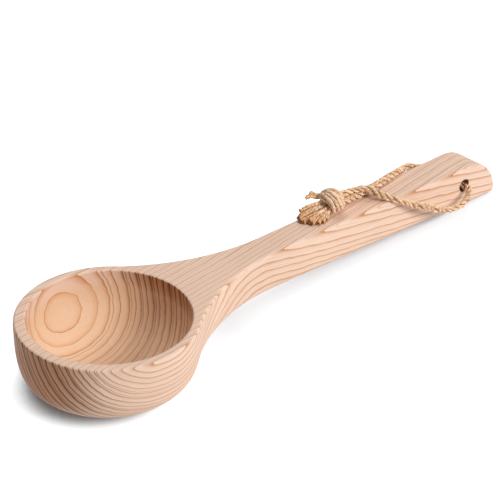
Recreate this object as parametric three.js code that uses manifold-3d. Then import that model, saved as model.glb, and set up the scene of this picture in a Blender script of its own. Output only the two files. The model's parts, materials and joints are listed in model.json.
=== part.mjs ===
// Sauna ladle: a one-piece carved wooden ladle with a loop of twine through the end of its handle.
// Units are millimetres. The ladle is drawn lying level, with the bowl's axis at the origin, the rim
// and the handle's top in the plane z = 0, the handle along +X and the near side at -Y. The whole
// ladle is then tipped to its rest, on the foot of the bowl and the heel of the handle.

import * as THREE from 'three';
import { mergeVertices } from 'three/addons/utils/BufferGeometryUtils.js';
import Module from 'manifold-3d';

// Bowl
const bowlRadius = 52.6;
const bowlDepth = 43.5;
const bowlSquareness = 4.3;      // 2 is an ellipse, higher gives steeper walls and a flatter bottom
const rimWall = 6;
const hollowOffset = 1;          // the hollow sits this far from the bowl's axis towards the handle
const bottomWall = 7;
const hollowSquareness = 2.5;
const lipRadius = 1;             // rounding of the hollow's edge

// Handle
const handleReach = 321.3;       // bowl axis to the tip
const neckThickness = 27.5;
const tipThickness = 30;
const neckWidth = 18.8;
const neckX = 74;                // where the neck's width and thickness are measured
const tipWidth = 26;
const neckFillet = 138;          // seen from above, between the bowl and the handle's side
const throatFillet = 12;         // seen from the side, between the bowl and the handle's underside
const edgeRadius = 1.7;          // rim and top edges of the handle
const bellyRadius = 6;           // lower edges of the handle
const tipTopRadius = 29;
const tipBottomRadius = 3;
const tipCornerRadius = 3;

// Cross hole for the twine
const holeDiameter = 8.5;
const holeFromTip = 33.3;
const holeDepth = 12.7;          // below the handle's top

// Rest: how far the foot and the heel are sanded flat
const footFlat = 0.9;
const heelFlat = 0.5;

// Twine
const twineDiameter = 4.5;
const gap = 0.3;                 // between neighbouring pieces
const twineShift = 1;            // from the hole's axis towards the tip
const twineDrop = 1.3;           // below the hole's axis
const knotLength = 14.5;
const knotCoreWidth = 15;
const knotCoreHeight = 14;
const knotWrapRadius = 5.75;     // centre line of a wrap round the knot
const knotWrapTilt = 14;         // degrees
const knotCentre = new THREE.Vector3(179.4, 4.3, knotWrapRadius + twineDiameter / 2 + gap);
const lowerTailEndWidth = 17;
const lowerTailEndHeight = 8;

// Facets
const bowlSegments = 72;
const profileSteps = 18;
const cornerSteps = 5;
const sideSteps = 5;
const neckStations = 22;
const shaftStations = 6;
const tipStations = 12;
const holeSegments = 28;
const twineSides = 10;
const twineStep = 3.7;           // length of one facet along the twine
const knotSegments = 20;
const knotRings = 12;
const wrapSteps = 24;
const tailRings = 6;

// Limits of the construction
const leastHalfWidth = 0.5;      // keeps a section open at the tip's corners
const cornerShare = 0.45;        // most of a section's thickness that one rounded edge may take
const buriedDraw = 1 / 8;        // how fast the neck draws in where it is buried in the bowl's wall
const bisections = 40;
const restRounds = 20;

const hollowRadius = bowlRadius - rimWall;
const hollowDepth = bowlDepth - bottomWall;
const holeX = handleReach - holeFromTip;
const twineX = holeX + twineShift;
const twineDepth = holeDepth + twineDrop;
const taper = (tipWidth - neckWidth) / 2 / (handleReach - neckX);
const swell = (tipThickness - neckThickness) / (handleReach - neckX);
const heelX = handleReach - tipBottomRadius;

const cedar = new THREE.MeshStandardMaterial({ color: 0xdfb792, roughness: 0.62, metalness: 0 });
const jute = new THREE.MeshStandardMaterial({ color: 0xc39a62, roughness: 0.9, metalness: 0 });

const wasm = await Module();
wasm.setup();

// A closed geometry becomes a solid that can be joined and cut.
function solidOf(geometry) {
  const bare = geometry.clone();
  bare.deleteAttribute('normal');
  bare.deleteAttribute('uv');
  const merged = mergeVertices(bare, 1e-4);
  const index = merged.index.array;
  const triangles = [];
  for (let i = 0; i < index.length; i += 3) {
    const [a, b, c] = [index[i], index[i + 1], index[i + 2]];
    if (a !== b && b !== c && c !== a) triangles.push(a, b, c);
  }
  return new wasm.Manifold(new wasm.Mesh({
    numProp: 3,
    vertProperties: new Float32Array(merged.attributes.position.array),
    triVerts: new Uint32Array(triangles),
  }));
}

function geometryOf(solid) {
  const mesh = solid.getMesh();
  const geometry = new THREE.BufferGeometry();
  geometry.setAttribute('position', new THREE.BufferAttribute(mesh.vertProperties, 3));
  geometry.setIndex(new THREE.BufferAttribute(mesh.triVerts, 1));
  geometry.computeVertexNormals();
  return geometry;
}

// A skin over closed loops of points that all have the same count, with a flat cap at each end.
function loft(loops) {
  const count = loops[0].length;
  const positions = loops.flat().flatMap((p) => [p.x, p.y, p.z]);
  const triangles = [];
  for (let row = 0; row + 1 < loops.length; row += 1) {
    for (let i = 0; i < count; i += 1) {
      const a = row * count + i;
      const b = row * count + (i + 1) % count;
      triangles.push(a, b, b + count, a, b + count, a + count);
    }
  }
  const last = (loops.length - 1) * count;
  for (let i = 1; i + 1 < count; i += 1) {
    triangles.push(0, i + 1, i);
    triangles.push(last, last + i, last + i + 1);
  }
  const geometry = new THREE.BufferGeometry();
  geometry.setAttribute('position', new THREE.Float32BufferAttribute(positions, 3));
  geometry.setIndex(triangles);
  return geometry;
}

// How far a rounded corner of the given radius draws in, at a distance from the corner's outer face.
function drawIn(radius, distance) {
  const reach = THREE.MathUtils.clamp(radius - distance, 0, radius);
  return radius - Math.sqrt(radius * radius - reach * reach);
}

// Outer radius of the bowl at a depth below the rim.
function bowlWall(depth) {
  const share = Math.min(depth / bowlDepth, 1);
  return bowlRadius * (1 - share ** bowlSquareness) ** (1 / bowlSquareness);
}

// A turned solid from a profile of [radius, height] points that runs upwards from axis to axis.
function turned(profile) {
  const points = profile.map(([radius, height]) => new THREE.Vector2(radius, height));
  return new THREE.LatheGeometry(points, bowlSegments).rotateX(Math.PI / 2);
}

function bowlBlank() {
  const profile = [[0, -bowlDepth]];
  for (let i = 1; i < profileSteps; i += 1) {
    const angle = (i / profileSteps) * Math.PI / 2;
    const radius = bowlRadius * Math.sin(angle) ** (2 / bowlSquareness);
    const height = -bowlDepth * Math.cos(angle) ** (2 / bowlSquareness);
    if (height < -edgeRadius) profile.push([radius, height]);
  }
  for (let i = 0; i <= cornerSteps; i += 1) {
    const depth = edgeRadius * (1 - Math.sin((i / cornerSteps) * Math.PI / 2));
    profile.push([bowlWall(depth) - drawIn(edgeRadius, depth), -depth]);
  }
  profile.push([0, 0]);
  return solidOf(turned(profile));
}

function bowlHollow() {
  const profile = [[0, -hollowDepth]];
  for (let i = 1; i <= profileSteps; i += 1) {
    const angle = (i / profileSteps) * Math.PI / 2;
    const radius = hollowRadius * Math.sin(angle) ** (2 / hollowSquareness);
    const height = -hollowDepth * Math.cos(angle) ** (2 / hollowSquareness);
    if (height < -lipRadius) profile.push([radius, height]);
  }
  for (let i = 0; i <= cornerSteps; i += 1) {
    const depth = lipRadius * (1 - i / cornerSteps);
    profile.push([hollowRadius + drawIn(lipRadius, depth), -depth]);
  }
  const top = lipRadius;
  profile.push([hollowRadius + lipRadius, top], [0, top]);
  return solidOf(turned(profile).translate(hollowOffset, 0, 0));
}

// The neck's fillet, seen from above at a depth below the top: an arc that touches the bowl's wall and
// the handle's tapered side.
function neckArc(depth) {
  const wall = bowlWall(depth);
  const slant = Math.hypot(1, taper);
  const base = neckWidth / 2 - taper * neckX + neckFillet * slant;
  const a = 1 + taper * taper;
  const b = 2 * taper * base;
  const c = base * base - (wall + neckFillet) ** 2;
  const centreX = (-b + Math.sqrt(b * b - 4 * a * c)) / (2 * a);
  return {
    wall,
    centreX,
    centreY: base + taper * centreX,
    leavesBowl: centreX * wall / (wall + neckFillet),
    meetsHandle: centreX + taper * neckFillet / slant,
  };
}

// Half the width of neck and handle at a distance from the bowl's axis and a depth below the top:
// inside the bowl's wall, then the neck's fillet, then the tapered handle.
function halfWidth(x, depth) {
  const arc = neckArc(depth);
  if (x < arc.leavesBowl) return Math.sqrt(arc.wall ** 2 - x ** 2) - buriedDraw * (arc.leavesBowl - x);
  if (x < arc.meetsHandle) return arc.centreY - Math.sqrt(neckFillet ** 2 - (x - arc.centreX) ** 2);
  return neckWidth / 2 + taper * (x - neckX);
}

// The throat's fillet, seen from the side: an arc that touches the bowl's wall and the handle's underside.
function throatArc() {
  const centreDepth = neckThickness + throatFillet;
  let [low, high] = [0, Math.PI / 2];
  let arc;
  for (let round = 0; round < bisections; round += 1) {
    const angle = (low + high) / 2;
    const x = bowlRadius * Math.sin(angle) ** (2 / bowlSquareness);
    const depth = bowlDepth * Math.cos(angle) ** (2 / bowlSquareness);
    const outward = (x / bowlRadius) ** (bowlSquareness - 1) / bowlRadius;
    const downward = (depth / bowlDepth) ** (bowlSquareness - 1) / bowlDepth;
    const length = Math.hypot(outward, downward);
    arc = { leavesBowl: x, centreX: x + throatFillet * outward / length, centreDepth };
    if (depth + throatFillet * downward / length > centreDepth) low = angle;
    else high = angle;
  }
  return arc;
}

const throat = throatArc();

// Depth of the underside: inside the bowl, the throat's fillet, then straight up to the rounded heel.
function undersideDepth(x) {
  const swelling = swell * Math.max(x - neckX, 0);
  const buried = buriedDraw * Math.max(throat.leavesBowl - x, 0);
  const reach = THREE.MathUtils.clamp(x, throat.leavesBowl, throat.centreX) - throat.centreX;
  const arcDepth = throat.centreDepth - Math.sqrt(throatFillet ** 2 - reach ** 2);
  return arcDepth + swelling - buried - drawIn(tipBottomRadius, handleReach - x);
}

// One cross-section of neck or handle, from the middle of the top round the near side.
function handleSection(x) {
  const top = drawIn(tipTopRadius, handleReach - x);
  const bottom = undersideDepth(x);
  const upper = Math.min(edgeRadius, (bottom - top) * cornerShare);
  const lower = Math.min(bellyRadius, (bottom - top) * cornerShare);
  const corner = drawIn(tipCornerRadius, handleReach - x);
  const side = [];
  for (let i = 0; i <= cornerSteps; i += 1) {
    const turn = (i / cornerSteps) * Math.PI / 2;
    side.push([top + upper * (1 - Math.cos(turn)), upper * (1 - Math.sin(turn))]);
  }
  for (let i = 1; i < sideSteps; i += 1) {
    side.push([THREE.MathUtils.lerp(top + upper, bottom - lower, i / sideSteps), 0]);
  }
  for (let i = 0; i <= cornerSteps; i += 1) {
    const turn = (1 - i / cornerSteps) * Math.PI / 2;
    side.push([bottom - lower * (1 - Math.cos(turn)), lower * (1 - Math.sin(turn))]);
  }
  const near = side.map(([depth, inset]) => {
    const half = Math.max(halfWidth(x, depth) - inset - corner, leastHalfWidth);
    return new THREE.Vector3(x, -half, -depth);
  });
  const far = near.map((p) => new THREE.Vector3(x, -p.y, p.z)).reverse();
  return [...near, ...far];
}

function handleBlank() {
  const buriedStart = hollowRadius / 2;
  const neckEnd = neckArc(0).meetsHandle;
  const tipStart = handleReach - tipTopRadius;
  const stations = [];
  for (let i = 0; i < neckStations; i += 1) {
    stations.push(THREE.MathUtils.lerp(buriedStart, neckEnd, i / neckStations));
  }
  for (let i = 0; i < shaftStations; i += 1) {
    stations.push(THREE.MathUtils.lerp(neckEnd, tipStart, i / shaftStations));
  }
  for (let i = 0; i <= tipStations; i += 1) {
    stations.push(tipStart + tipTopRadius * Math.sin((i / tipStations) * Math.PI / 2));
  }
  return solidOf(loft(stations.map(handleSection)));
}

function crossHole() {
  const throughBoth = tipWidth * 2;
  const radius = holeDiameter / 2;
  const cylinder = new THREE.CylinderGeometry(radius, radius, throughBoth, holeSegments);
  return solidOf(cylinder.translate(holeX, 0, -holeDepth));
}

// The plane that foot and heel rest on: its slope along the handle and its depth at the bowl's axis.
// The slope moves the point of the bowl that touches the plane, so the two settle in a few rounds.
function restPlane() {
  const power = bowlSquareness / (bowlSquareness - 1);
  let slope = 0;
  let depthAtAxis = bowlDepth;
  for (let round = 0; round < restRounds; round += 1) {
    const touching = (bowlDepth ** power + (slope * bowlRadius) ** power) ** (1 / power);
    depthAtAxis = touching - footFlat;
    slope = (depthAtAxis - undersideDepth(heelX) + heelFlat) / heelX;
  }
  return { tilt: Math.atan(slope), depthAtAxis };
}

const rest = restPlane();

function belowRest() {
  const size = handleReach * 3;
  const block = new THREE.BoxGeometry(size, size, size).translate(0, 0, -size / 2);
  return solidOf(block.rotateY(-rest.tilt).translate(0, 0, -rest.depthAtAxis));
}

function ladleBody() {
  const carved = bowlBlank().add(handleBlank()).subtract(bowlHollow()).subtract(crossHole());
  return geometryOf(carved.subtract(belowRest()));
}

// Twine: a tube along a curve through points chosen by hand. In its hole it lies on the lower wall.
function tube(points) {
  const section = new THREE.Shape();
  section.absarc(0, 0, twineDiameter / 2, 0, Math.PI * 2);
  const extrudePath = new THREE.CatmullRomCurve3(points.map((p) => new THREE.Vector3(...p)));
  const steps = Math.round(extrudePath.getLength() / twineStep);
  const options = { steps, curveSegments: twineSides / 2, bevelEnabled: false, extrudePath };
  return solidOf(new THREE.ExtrudeGeometry(section, options));
}

const mouth = halfWidth(holeX, holeDepth) + gap / 2;

const nearLegPoints = [
  [twineX, -mouth - gap, -twineDepth],
  [288.8, -15.4, -14.1],
  [286.4, -18.3, -15.2],
  [281.8, -20.5, -17.2],
  [274.0, -22.3, -18.1],
  [266.0, -22.8, -17.8],
  [257.0, -22.4, -15.9],
  [247.0, -21.4, -11.6],
  [238.0, -19.6, -7.3],
  [230.0, -16.9, -3.9],
  [224.0, -14.7, -1.0],
  [219.2, -13.1, 1.6],
  [216.2, -10.2, 2.8],
  [212.9, -5.8, 3.9],
  [209.8, -1.2, 6.0],
  [206.2, 2.8, 7.2],
  [201.0, 4.8, 7.4],
  [194.5, 5.4, 7.4],
  [187.5, 5.4, 7.4],
];

const farLegPoints = [
  [twineX, mouth + gap, -twineDepth],
  [288.8, 15.4, -14.0],
  [286.6, 17.2, -13.3],
  [282.2, 17.2, -11.4],
  [276.5, 16.2, -8.0],
  [269.4, 15.6, -3.6],
  [262.9, 15.6, -0.7],
  [255.8, 15.1, 1.4],
  [248.6, 13.0, 2.4],
  [241.3, 10.9, 2.6],
  [234.0, 9.2, 2.6],
  [227.0, 7.8, 2.6],
  [219.2, 6.3, 2.6],
  [212.6, 5.4, 2.6],
  [205.0, 5.0, 2.6],
  [197.0, 5.0, 2.6],
  [187.5, 4.6, 2.8],
];

const upperTailPoints = [
  [177.5, 8.0, 9.2],
  [173.6, 10.4, 9.7],
  [169.8, 12.2, 10.2],
  [165.8, 14.6, 10.4],
];

const lowerTailStart = [172.6, 4.0, 5.6];
const lowerTailEnd = [153.5, 3.4, lowerTailEndHeight / 2 + gap];

// The knot: a core with two wraps of twine round it. Grown by a margin, it is also what its neighbours
// are cut back by.
function knotSolid(margin) {
  const core = new THREE.SphereGeometry(1 / 2, knotSegments, knotRings);
  core.scale(knotLength + 2 * margin, knotCoreWidth + 2 * margin, knotCoreHeight + 2 * margin);
  let knot = solidOf(core);
  for (const side of [-1, 1]) {
    const wrap = new THREE.TorusGeometry(knotWrapRadius, twineDiameter / 2 + margin, twineSides, wrapSteps);
    wrap.rotateY(Math.PI / 2 + THREE.MathUtils.degToRad(knotWrapTilt));
    knot = knot.add(solidOf(wrap.translate(side * twineDiameter / 2, 0, 0)));
  }
  return knot.translate(knotCentre.x, knotCentre.y, knotCentre.z);
}

// The lower tail: untwisted strands that spread from the knot to a broad frayed end.
function lowerTailSolid() {
  const start = new THREE.Vector3(...lowerTailStart);
  const end = new THREE.Vector3(...lowerTailEnd);
  const loops = [];
  for (let row = 0; row <= tailRings; row += 1) {
    const along = row / tailRings;
    const { x, y, z } = start.clone().lerp(end, along);
    const halfBroad = THREE.MathUtils.lerp(twineDiameter, lowerTailEndWidth, along) / 2;
    const halfHigh = THREE.MathUtils.lerp(twineDiameter, lowerTailEndHeight, along) / 2;
    const loop = [];
    for (let i = 0; i < twineSides; i += 1) {
      const angle = -(i / twineSides) * Math.PI * 2;
      loop.push(new THREE.Vector3(x, y + halfBroad * Math.cos(angle), z + halfHigh * Math.sin(angle)));
    }
    loops.push(loop);
  }
  return solidOf(loft(loops));
}

function piece(name, geometry, material) {
  const mesh = new THREE.Mesh(geometry, material);
  mesh.name = name;
  return mesh;
}

const knotClearance = knotSolid(gap);
const cutByKnot = (solid) => geometryOf(solid.subtract(knotClearance));
const throughHole = new THREE.CylinderGeometry(twineDiameter / 2, twineDiameter / 2, 2 * mouth, twineSides);

const hangingLoop = new THREE.Group();
hangingLoop.add(
  piece('twine_in_hole', throughHole.translate(twineX, 0, -twineDepth), jute),
  piece('twine_near_leg', cutByKnot(tube(nearLegPoints)), jute),
  piece('twine_far_leg', cutByKnot(tube(farLegPoints)), jute),
  piece('twine_knot', geometryOf(knotSolid(0)), jute),
  piece('twine_upper_tail', cutByKnot(tube(upperTailPoints)), jute),
  piece('twine_lower_tail', cutByKnot(lowerTailSolid()), jute),
);

const ladle = new THREE.Group();
ladle.add(piece('ladle_body', ladleBody(), cedar), hangingLoop);
ladle.rotation.y = rest.tilt;
ladle.updateMatrixWorld(true);

// The origin is under the middle of the wooden ladle, on the surface that it lies on.
const woodBox = new THREE.Box3().setFromObject(ladle.children[0], true);
const middle = woodBox.getCenter(new THREE.Vector3());
ladle.position.set(-middle.x, -middle.y, -woodBox.min.z);

const part = new THREE.Group();
part.add(ladle);

export default part;
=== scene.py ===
import json
import math

import bpy
import numpy as np
from mathutils import Matrix, Vector


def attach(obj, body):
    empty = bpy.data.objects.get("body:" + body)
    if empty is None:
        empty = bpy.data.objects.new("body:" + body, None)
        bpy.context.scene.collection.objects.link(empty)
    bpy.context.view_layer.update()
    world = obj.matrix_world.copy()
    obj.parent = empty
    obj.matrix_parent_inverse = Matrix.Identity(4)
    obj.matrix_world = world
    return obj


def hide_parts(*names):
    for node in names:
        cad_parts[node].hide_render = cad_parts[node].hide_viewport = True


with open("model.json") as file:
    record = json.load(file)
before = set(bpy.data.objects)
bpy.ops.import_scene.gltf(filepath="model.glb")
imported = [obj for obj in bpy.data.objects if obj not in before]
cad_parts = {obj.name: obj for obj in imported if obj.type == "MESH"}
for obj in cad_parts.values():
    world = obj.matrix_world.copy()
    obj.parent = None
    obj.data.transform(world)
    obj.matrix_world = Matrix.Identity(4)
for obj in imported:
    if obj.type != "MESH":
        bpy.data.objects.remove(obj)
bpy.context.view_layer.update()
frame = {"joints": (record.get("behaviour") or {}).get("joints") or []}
mm = 0.001
scene = bpy.context.scene
scene.view_settings.view_transform = "Standard"

# The ladle's own frame, in millimetres: bowl axis at the origin, rim and handle top at height 0,
# handle along +X, near side at -Y. The same sizes as the carved solid.
ladle = {
    "bowlRadius": 52.6,
    "bowlDepth": 43.5,
    "bowlSquareness": 4.3,
    "hollowRadius": 46.6,
    "hollowDepth": 36.5,
    "hollowSquareness": 2.5,
    "hollowOffset": 1.0,
    "lipRadius": 1.0,
    "handleReach": 321.3,
    "neckX": 74.0,
    "neckThickness": 27.5,
    "tipThickness": 30.0,
    "neckWidth": 18.8,
    "tipWidth": 26.0,
    "neckFillet": 138.0,
    "throatFillet": 12.0,
    "throatBlend": (-6.0, 10.0),
    "edgeRadius": 1.7,
    "bellyRadius": 6.0,
    "tipTopRadius": 29.0,
    "tipEdgeRadius": 3.0,
    "holeRadius": 4.25,
    "holeX": 288.0,
    "holeDepth": 12.7,
    "holeEase": 0.6,
    "footFlat": 0.9,
    "heelFlat": 0.5,
    "restEase": 0.6,
    "restRounds": 20,
    "meshStep": 1.0,
    "slopeReach": 0.05,
    "leastSteepness": 0.2,
    "relaxRounds": 3,
    "settleRounds": 2,
    "settleSteps": 2,  # in each round
}
shaftLength = ladle["handleReach"] - ladle["neckX"]
taper = (ladle["tipWidth"] - ladle["neckWidth"]) / 2 / shaftLength
swell = (ladle["tipThickness"] - ladle["neckThickness"]) / shaftLength


def handleThickness(x):
    return ladle["neckThickness"] + swell * np.maximum(x - ladle["neckX"], 0)


# The slope of the surface that foot and heel rest on, and its depth under the bowl's axis
def restSlope():
    power = ladle["bowlSquareness"] / (ladle["bowlSquareness"] - 1)
    heelX = ladle["handleReach"] - ladle["tipEdgeRadius"]
    slope = 0.0
    for settling in range(ladle["restRounds"]):
        touching = (ladle["bowlDepth"] ** power + (slope * ladle["bowlRadius"]) ** power) ** (1 / power)
        depthAtAxis = touching - ladle["footFlat"]
        slope = (depthAtAxis - handleThickness(heelX) + ladle["heelFlat"]) / heelX
    return slope, depthAtAxis


slope, depthAtAxis = restSlope()
tilt = math.atan(slope)
holeInLadle = Vector((ladle["holeX"], 0, -ladle["holeDepth"]))
holeAtRest = Vector(frame["joints"][0]["pos_m"])
turn = Matrix.Rotation(tilt, 4, "Y")
ladleToRest = Matrix.Translation(holeAtRest) @ turn @ Matrix.Scale(mm, 4) @ Matrix.Translation(-holeInLadle)


def atRest(points):
    matrix = np.array(ladleToRest)
    return np.asarray(points, float) @ matrix[:3, :3].T + matrix[:3, 3]


# Small helpers for node trees
def put(tree, kind, inputs=None, **settings):
    node = tree.nodes.new(kind)
    for key, value in settings.items():
        setattr(node, key, value)
    for key, value in (inputs or {}).items():
        if isinstance(value, bpy.types.NodeSocket):
            tree.links.new(value, node.inputs[key])
        else:
            node.inputs[key].default_value = value
    return node


def made(tree, kind, inputs=None, **settings):
    return put(tree, kind, inputs, **settings).outputs[0]


def maths(tree, operation, a, b=0.0, c=0.0):
    return made(tree, "ShaderNodeMath", {0: a, 1: b, 2: c}, operation=operation)


def plus(tree, a, b):
    return maths(tree, "ADD", a, b)


def minus(tree, a, b):
    return maths(tree, "SUBTRACT", a, b)


def times(tree, a, b):
    return maths(tree, "MULTIPLY", a, b)


def timesPlus(tree, a, b, c):
    return maths(tree, "MULTIPLY_ADD", a, b, c)


def larger(tree, a, b):
    return maths(tree, "MAXIMUM", a, b)


def vectors(tree, operation, a, b=(0, 0, 0)):
    node = put(tree, "ShaderNodeVectorMath", {0: a, 1: b}, operation=operation)
    return node.outputs["Value" if operation in ("DOT_PRODUCT", "LENGTH") else "Vector"]


def scaled(tree, vector, amount):
    return made(tree, "ShaderNodeVectorMath", {0: vector, "Scale": amount}, operation="SCALE")


def joined(tree, x, y, z):
    return made(tree, "ShaderNodeCombineXYZ", {0: x, 1: y, 2: z})


def noise(tree, at, scale, detail):
    return put(tree, "ShaderNodeTexNoise", {"Vector": at, "Scale": scale, "Detail": detail}).outputs


def ranged(tree, value, low, high, toLow=0.0, toHigh=1.0, smooth=False):
    kind = "SMOOTHSTEP" if smooth else "LINEAR"
    sockets = {"Value": value, "From Min": low, "From Max": high, "To Min": toLow, "To Max": toHigh}
    return made(tree, "ShaderNodeMapRange", sockets, interpolation_type=kind)


# One value where the share is 0, another where it is 1
def between(tree, share, atNone, atFull):
    return ranged(tree, share, 0, 1, atNone, atFull)


def blended(tree, amount, a, b, how="MIX"):
    node = put(tree, "ShaderNodeMix", {"Factor": amount}, data_type="RGBA", blend_type=how)
    for socket, value in ((node.inputs[6], a), (node.inputs[7], b)):
        if isinstance(value, bpy.types.NodeSocket):
            tree.links.new(value, socket)
        else:
            socket.default_value = (*value, 1)
    return node.outputs[2]


def opennessTo(tree, reach, samples, **towards):
    sockets = {"Distance": reach, **towards}
    return put(tree, "ShaderNodeAmbientOcclusion", sockets, samples=samples).outputs["AO"]


def newMaterial(name):
    material = bpy.data.materials.new(name)
    material.use_nodes = True
    tree = material.node_tree
    return material, tree, tree.nodes["Principled BSDF"]


def addRelief(tree, shader, height, sizes):
    sockets = {"Height": height, "Strength": sizes["reliefStrength"], "Distance": sizes["reliefDepth"] * mm}
    tree.links.new(made(tree, "ShaderNodeBump", sockets), shader.inputs["Normal"])


# Carving: the ladle is a field that is negative inside the wood, in the ladle's own frame
def roundedMax(a, b, radius):
    both = np.hypot(np.maximum(a + radius, 0), np.maximum(b + radius, 0))
    return np.minimum(np.maximum(a, b), -radius) + both


def roundedMin(a, b, radius):
    return -roundedMax(-a, -b, radius)


def eased(value, low, high):
    share = np.clip((value - low) / (high - low), 0, 1)
    return share * share * (3 - 2 * share)


def eggField(reach, depth, radius, height, squareness):
    u = np.maximum(reach, 1e-6) / radius  # never quite 0, where the slope has no direction
    v = np.maximum(depth, 0) / height
    size = (u ** squareness + v ** squareness) ** (1 / squareness)
    outward = (u / size) ** (squareness - 1) / radius
    downward = (v / size) ** (squareness - 1) / height
    return (size - 1) / np.hypot(outward, downward)


# Seen from above at a depth: the bowl's wall, the neck's fillet that touches it, the tapered handle
def planField(x, y, depth):
    share = np.clip(depth / ladle["bowlDepth"], 0, 0.999)  # the wall never quite closes
    wall = ladle["bowlRadius"] * (1 - share ** ladle["bowlSquareness"]) ** (1 / ladle["bowlSquareness"])
    fillet = ladle["neckFillet"]
    slant = math.hypot(1, taper)
    base = ladle["neckWidth"] / 2 - taper * ladle["neckX"] + fillet * slant
    reach = (wall + fillet) ** 2 * slant ** 2 - base ** 2
    centreX = (np.sqrt(reach) - taper * base) / slant ** 2
    centreY = base + taper * centreX
    side = np.abs(y)
    bowl = np.hypot(x, side) - wall
    neck = fillet - np.hypot(x - centreX, side - centreY)
    shaft = (side - ladle["neckWidth"] / 2 - taper * (x - ladle["neckX"])) / slant
    beyondNeck = (x - centreX) + taper * (side - centreY) > 0
    return np.where(centreX * side > centreY * x, bowl, np.where(beyondNeck, shaft, neck))


def ladleField(x, y, z):
    depth = -z
    end = x - ladle["handleReach"]
    bowl = eggField(np.hypot(x, y), depth, ladle["bowlRadius"], ladle["bowlDepth"], ladle["bowlSquareness"])
    side = planField(x, y, depth)
    under = depth - handleThickness(x)
    handle = roundedMax(side, under, ladle["bellyRadius"])
    throat = ladle["throatFillet"] * eased(under - side, *ladle["throatBlend"])
    shape = roundedMin(bowl, handle, throat)
    top = roundedMax(z, end, ladle["tipTopRadius"])
    tipShare = eased(end, -ladle["tipTopRadius"], 0)
    edge = ladle["edgeRadius"] + (ladle["tipEdgeRadius"] - ladle["edgeRadius"]) * tipShare
    shape = roundedMax(shape, top, edge)
    reach = np.hypot(x - ladle["hollowOffset"], y)
    hollow = eggField(reach, depth, ladle["hollowRadius"], ladle["hollowDepth"], ladle["hollowSquareness"])
    shape = roundedMax(shape, -hollow, ladle["lipRadius"])
    hole = np.hypot(x - ladle["holeX"], depth - ladle["holeDepth"]) - ladle["holeRadius"]
    shape = roundedMax(shape, -hole, ladle["holeEase"])
    rest = (depth - depthAtAxis + slope * x) * math.cos(tilt)
    return roundedMax(shape, rest, ladle["restEase"])


# A quad skin on the field's zero: one point in each crossed cell, one quad for each crossed edge
def skinOf(field, low, high, step):
    axes = [np.arange(a, b + step, step) for a, b in zip(low, high)]
    grid = field(*np.meshgrid(*axes, indexing="ij"))
    cells = tuple(n - 1 for n in grid.shape)
    total = np.zeros((np.prod(cells), 3))
    count = np.zeros(np.prod(cells))
    quads = []
    for axis in range(3):
        across, along = (axis + 1) % 3, (axis + 2) % 3
        here = np.take(grid, np.arange(cells[axis]), axis)
        there = np.take(grid, np.arange(1, cells[axis] + 1), axis)
        edges = np.argwhere((here < 0) != (there < 0))
        a, b = here[tuple(edges.T)], there[tuple(edges.T)]
        crossing = edges.astype(float)
        crossing[:, axis] += a / (a - b)
        ring = []
        for stepU, stepV in ((0, 0), (-1, 0), (-1, -1), (0, -1)):
            cell = edges.copy()
            cell[:, across] += stepU
            cell[:, along] += stepV
            flat = np.ravel_multi_index(cell.T, cells)
            np.add.at(total, flat, crossing)
            np.add.at(count, flat, 1)
            ring.append(flat)
        quad = np.stack(ring, 1)
        quad[a >= 0] = quad[a >= 0][:, ::-1]
        quads.append(quad)
    used = count > 0
    number = np.cumsum(used) - 1
    points = total[used] / count[used][:, None] * step + np.array(low)
    return points, number[np.concatenate(quads)]


def gradientOf(field, points):
    columns = []
    for axis in range(3):
        shift = np.zeros(3)
        shift[axis] = ladle["slopeReach"]
        ahead, behind = field(*(points + shift).T), field(*(points - shift).T)
        columns.append((ahead - behind) / (2 * ladle["slopeReach"]))
    return np.stack(columns, 1)


# Evens out the skin's points, and brings them back to the field's zero
def settled(field, points, faces, step):
    a = faces.ravel()
    b = np.roll(faces, -1, axis=1).ravel()
    links = np.bincount(a, minlength=len(points)) + np.bincount(b, minlength=len(points))
    for roundNumber in range(ladle["relaxRounds"] + ladle["settleRounds"]):
        if roundNumber < ladle["relaxRounds"]:
            near = np.zeros_like(points)
            np.add.at(near, a, points[b])
            np.add.at(near, b, points[a])
            points = (points + near / links[:, None]) / 2
        for settling in range(ladle["settleSteps"]):
            gradient = gradientOf(field, points)
            steepness = np.maximum((gradient ** 2).sum(1), ladle["leastSteepness"])
            move = -gradient * (field(*points.T) / steepness)[:, None]
            points = points + np.clip(move, -step / 2, step / 2)
    return points


def newPiece(name, mesh, material):
    piece = bpy.data.objects.new(name, mesh)
    scene.collection.objects.link(piece)
    mesh.materials.clear()
    mesh.materials.append(material)
    return piece


def carveLadle(material):
    step = ladle["meshStep"]
    wide = ladle["bowlRadius"] + 2 * step
    low = (-wide, -wide, -ladle["bowlDepth"] - 2 * step)
    high = (ladle["handleReach"] + 2 * step, wide, 2 * step)
    points, faces = skinOf(ladleField, low, high, step)
    points = settled(ladleField, points, faces, step)
    normals = gradientOf(ladleField, points)
    normals /= np.linalg.norm(normals, axis=1)[:, None]
    mesh = bpy.data.meshes.new("carved_ladle")
    mesh.from_pydata(atRest(points), [], faces.tolist())
    mesh.polygons.foreach_set("use_smooth", np.ones(len(faces), bool))
    mesh.normals_split_custom_set_from_vertices(normals @ np.array(turn)[:3, :3].T)
    print("ladle carved:", len(points), "points,", len(faces), "quads")
    piece = newPiece("carved_ladle", mesh, material)
    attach(piece, "ladle")
    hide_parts("ladle_body")
    return piece


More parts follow.
